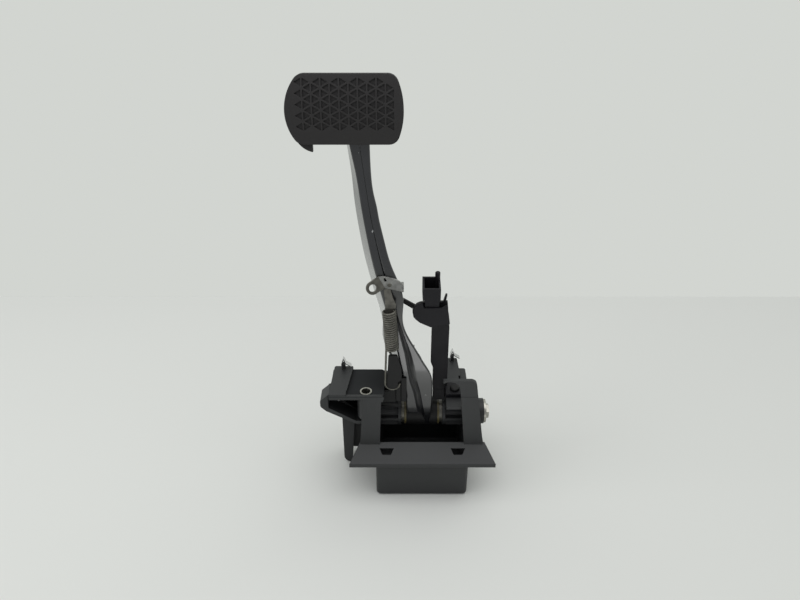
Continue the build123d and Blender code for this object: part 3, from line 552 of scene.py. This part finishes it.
def strap_mesh():
    """Strap with the eyelet, bent forward from the band's left end."""
    eye = (-STRAP_LENGTH, 0.0)
    lug = circle(eye, LUG_RADIUS, count=24, start=90.0, turn=180.0)
    outline = lug + [(STRAP_OVERLAP, -LUG_RADIUS), (STRAP_OVERLAP, LUG_RADIUS)]
    mesh = sheet_mesh([outline, circle(eye, EYELET_RADIUS)], SHEET, SHEET_EDGE)
    lean = Matrix.Rotation(-math.radians(STRAP_ANGLE), 4, "Y")
    bend = Matrix.Rotation(math.radians(STRAP_BEND), 4, "Z")
    mesh.transform(Matrix.Translation((BEND[0], 0, BEND[1])) @ lean @ bend)
    return mesh


def weld_mesh():
    """Plug weld, sunk into the band's front."""
    mesh = sheet_mesh([circle(WELD, WELD_RADIUS, count=24)], WELD_THICKNESS, WELD_EDGE)
    mesh.transform(Matrix.Translation((0, WELD_SINK - SHEET, 0)))
    return mesh


def tab_mesh():
    """Tab bent back from the band's right end."""
    outline = [
        (-SHEET, BAND_RIGHT_LOW), (TAB_BACK, BAND_RIGHT_LOW),
        (TAB_BACK, BAND_RIGHT_HIGH), (-SHEET, BAND_RIGHT_HIGH),
    ]
    return side_sheet_mesh([outline], SHEET, (BAND_RIGHT - SHEET, 0, 0), SHEET_EDGE)


def tongue_mesh():
    """Strip bent forward from the saddle and down into the coil."""
    strip = bmesh.new()
    rows = [[strip.verts.new((x, y, z)) for x in (left, right)] for left, right, y, z in TONGUE]
    for (a, b), (c, d) in zip(rows, rows[1:]):
        strip.faces.new((a, b, d, c))
    bmesh.ops.recalc_face_normals(strip, faces=strip.faces)
    bmesh.ops.solidify(strip, geom=strip.faces, thickness=SHEET / 2)
    mesh = bpy.data.meshes.new("tongue")
    strip.to_mesh(mesh)
    strip.free()
    return mesh


def saddle():
    """Spring bracket with its slanted band, eyelet strap, plug weld, side tab and tongue."""
    bare, coated = special["spring_bracket"], materials["phosphate_steel"]
    plates = [(band_mesh(), bare), (strap_mesh(), coated), (weld_mesh(), coated), (tab_mesh(), bare)]
    lean = Matrix.Rotation(-math.radians(SADDLE_LEAN), 4, "X")
    foot = Matrix.Translation((0, 0, -SADDLE_Z))
    for mesh, _ in plates:
        mesh.transform(Matrix.Translation((0, SADDLE_FRONT, SADDLE_Z)) @ lean @ foot)
    made("saddle", [*plates, (tongue_mesh(), coated)], "pedal", "spring_bracket")


def sleeve():
    """Push rod sleeve that ends inside the fitted arm's right wall, painted with it."""
    left, right = SLEEVE_ENDS
    inner, outer = (circle((0, 0), radius, count=48) for radius in SLEEVE_RADII)
    tube = side_sheet_mesh([outer, inner], right - left, (left, *SLEEVE_PLACE), SLEEVE_EDGE)
    made("push_rod_sleeve", [(tube, materials["arm_paint"])], "pedal", "pushrod_sleeve")


def take_away(thing, cut):
    """Cuts a mesh in millimetres out of a piece and keeps the result as the piece's mesh."""
    cut.transform(Matrix.Scale(MM, 4))
    cutter = bpy.data.objects.new("cutter", cut)
    bpy.context.scene.collection.objects.link(cutter)
    modifier = thing.modifiers.new("cut", "BOOLEAN")
    modifier.operation = "DIFFERENCE"
    modifier.solver = "EXACT"
    modifier.object = cutter
    whole = thing.data
    result = thing.evaluated_get(bpy.context.evaluated_depsgraph_get())
    thing.data = bpy.data.meshes.new_from_object(result)
    thing.modifiers.clear()
    bpy.data.meshes.remove(whole)
    bpy.data.objects.remove(cutter)
    bpy.data.meshes.remove(cut)


def plain_normals(mesh):
    """Smooth faces with sharp edges, in place of the normals that the cuts upset."""
    stored = mesh.attributes.get("custom_normal")
    if stored:
        mesh.attributes.remove(stored)
    mesh.shade_smooth()
    mesh.set_sharp_from_angle(angle=math.radians(SHARP_ANGLE))


def window_cut(side):
    """Trapezoid cut, square through the sloping flange."""
    outline = [
        (-WINDOW_TOP_HALF, WINDOW_HALF), (WINDOW_TOP_HALF, WINDOW_HALF),
        (WINDOW_LOW_HALF, -WINDOW_HALF), (-WINDOW_LOW_HALF, -WINDOW_HALF),
    ]
    cut = sheet_mesh([outline], 2 * WINDOW_DEPTH)
    place = Matrix.Translation((side * WINDOW_X, WINDOW_Y, WINDOW_Z))
    slope = Matrix.Rotation(math.radians(FLANGE_SLOPE - 90), 4, "X")
    cut.transform(place @ slope @ Matrix.Translation((0, WINDOW_DEPTH, 0)))
    return cut


def bracket_cuts():
    """Bracket with flange windows, a sloped right wall, thin roofs in the wing and a low bead."""
    left, right = WALL_SIDE
    cuts = [box_mesh(ranges) for ranges in (POCKET_ROOF, LIP_ROOF, BEAD_TOP)]
    cuts += [window_cut(side) for side in (-1, 1)]
    cuts.append(side_sheet_mesh([WALL_TOP], right - left, (left, 0, 0)))
    bracket = stand_in("pedal_bracket", "bracket_body")
    for cut in cuts:
        take_away(bracket, cut)
    plain_normals(bracket.data)
    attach(bracket, "bracket")
    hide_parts("pedal_bracket")


def switch_body():
    """Switch whose foot is slanted like the carrier's face in front of it."""
    body = stand_in("switch_housing", "switch_body")
    front, back = SWITCH_DEPTH
    cut = sheet_mesh([SWITCH_CORNER], back - front)
    cut.transform(Matrix.Translation((0, back, 0)))
    take_away(body, cut)
    plain_normals(body.data)
    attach(body, "bracket")
    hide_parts("switch_housing")


def lip_panel():
    """Back of the wing's lip, which the pocket leaves open."""
    panel = box_mesh(LIP_PANEL, PLATE_EDGE)
    made("lip_panel", [(panel, materials["bracket_plastic"])], "bracket")


def anchor_leaf():
    """Dark leaf of the spring's anchor that closes the view beside the arm."""
    plates = [(box_mesh(ranges, PLATE_EDGE), dull_black) for ranges in (LEAF, LEAF_FOOT)]
    made("anchor_leaf", plates, "bracket")


def carrier_front():
    """Face with a lobe and lower skirt of the switch carrier."""
    black = materials["switch_plastic"]
    face = sheet_mesh([FACE], FACE_SHEET, FACE_EDGE)
    face.transform(Matrix.Translation((0, FACE_FRONT + FACE_SHEET, 0)))
    skirt = box_mesh(SKIRT, PLATE_EDGE)
    made("carrier_front", [(face, black), (skirt, black)], "bracket")


def floor():
    """Pale floor, as deep as the view shows it."""
    mesh = bpy.data.meshes.new("floor")
    corners = [
        (-FLOOR_HALF, -FLOOR_HALF, 0), (FLOOR_HALF, -FLOOR_HALF, 0),
        (FLOOR_HALF, FLOOR_BACK, 0), (-FLOOR_HALF, FLOOR_BACK, 0),
    ]
    mesh.from_pydata(corners, [], [(0, 1, 2, 3)])
    mesh.materials.append(plain("floor_paint", FLOOR, roughness=0.6))
    thing = bpy.data.objects.new("floor", mesh)
    bpy.context.scene.collection.objects.link(thing)


def area_light(name, place, aim, size, power, spread=180.0):
    """Soft rectangular lamp aimed at a point."""
    lamp = bpy.data.lights.new(name, "AREA")
    lamp.shape = "RECTANGLE"
    lamp.size, lamp.size_y = size
    lamp.energy = power
    lamp.spread = math.radians(spread)
    thing = bpy.data.objects.new(name, lamp)
    thing.location = place
    direction = [a - b for a, b in zip(aim, place)]
    thing.rotation_euler = Vector(direction).to_track_quat("-Z", "Y").to_euler()
    bpy.context.scene.collection.objects.link(thing)


def room():
    """World that is pale behind the pedal and dimmer behind the camera."""
    world = bpy.data.worlds.new("room")
    world.use_nodes = True
    nodes = world.node_tree.nodes
    links = world.node_tree.links
    place = nodes.new("ShaderNodeTexCoord")
    split = nodes.new("ShaderNodeSeparateXYZ")
    links.new(place.outputs["Generated"], split.inputs["Vector"])
    depth = nodes.new("ShaderNodeMapRange")
    depth.inputs["From Min"].default_value = -1.0
    links.new(split.outputs["Y"], depth.inputs["Value"])
    ramp = nodes.new("ShaderNodeValToRGB")
    set_ramp(ramp.color_ramp, ROOM)
    links.new(depth.outputs["Result"], ramp.inputs["Fac"])
    links.new(ramp.outputs["Color"], nodes["Background"].inputs["Color"])
    bpy.context.scene.world = world


def light():
    """Pale room, a broad lamp overhead, a softer one from the left and a faint card before the arm."""
    room()
    area_light("overhead", place=(0.1, -0.2, 1.8), aim=(0.0, 0.0, 0.1), size=(2.2, 1.6), power=16.5)
    area_light(
        "arm_card", place=(0.02, -0.24, 0.03), aim=(0.0, -0.02, 0.12), size=(0.12, 0.10),
        power=0.006, spread=50.0)
    area_light("left", place=(-1.2, -0.3, 1.0), aim=(0.0, 0.0, 0.2), size=(0.8, 0.8), power=4.0)


def camera():
    """Camera of the photo."""
    data = bpy.data.cameras.new("camera")
    data.lens = CAMERA_LENS
    thing = bpy.data.objects.new("camera", data)
    thing.location = CAMERA_PLACE
    thing.rotation_euler = (math.radians(CAMERA_PITCH), 0, 0)
    bpy.context.scene.collection.objects.link(thing)
    bpy.context.scene.camera = thing


spring_that_stretches()
fit_arm()
saddle()
sleeve()
bracket_cuts()
switch_body()
lip_panel()
anchor_leaf()
carrier_front()
floor()
light()
camera()
bpy.context.scene.view_settings.view_transform = "Standard"
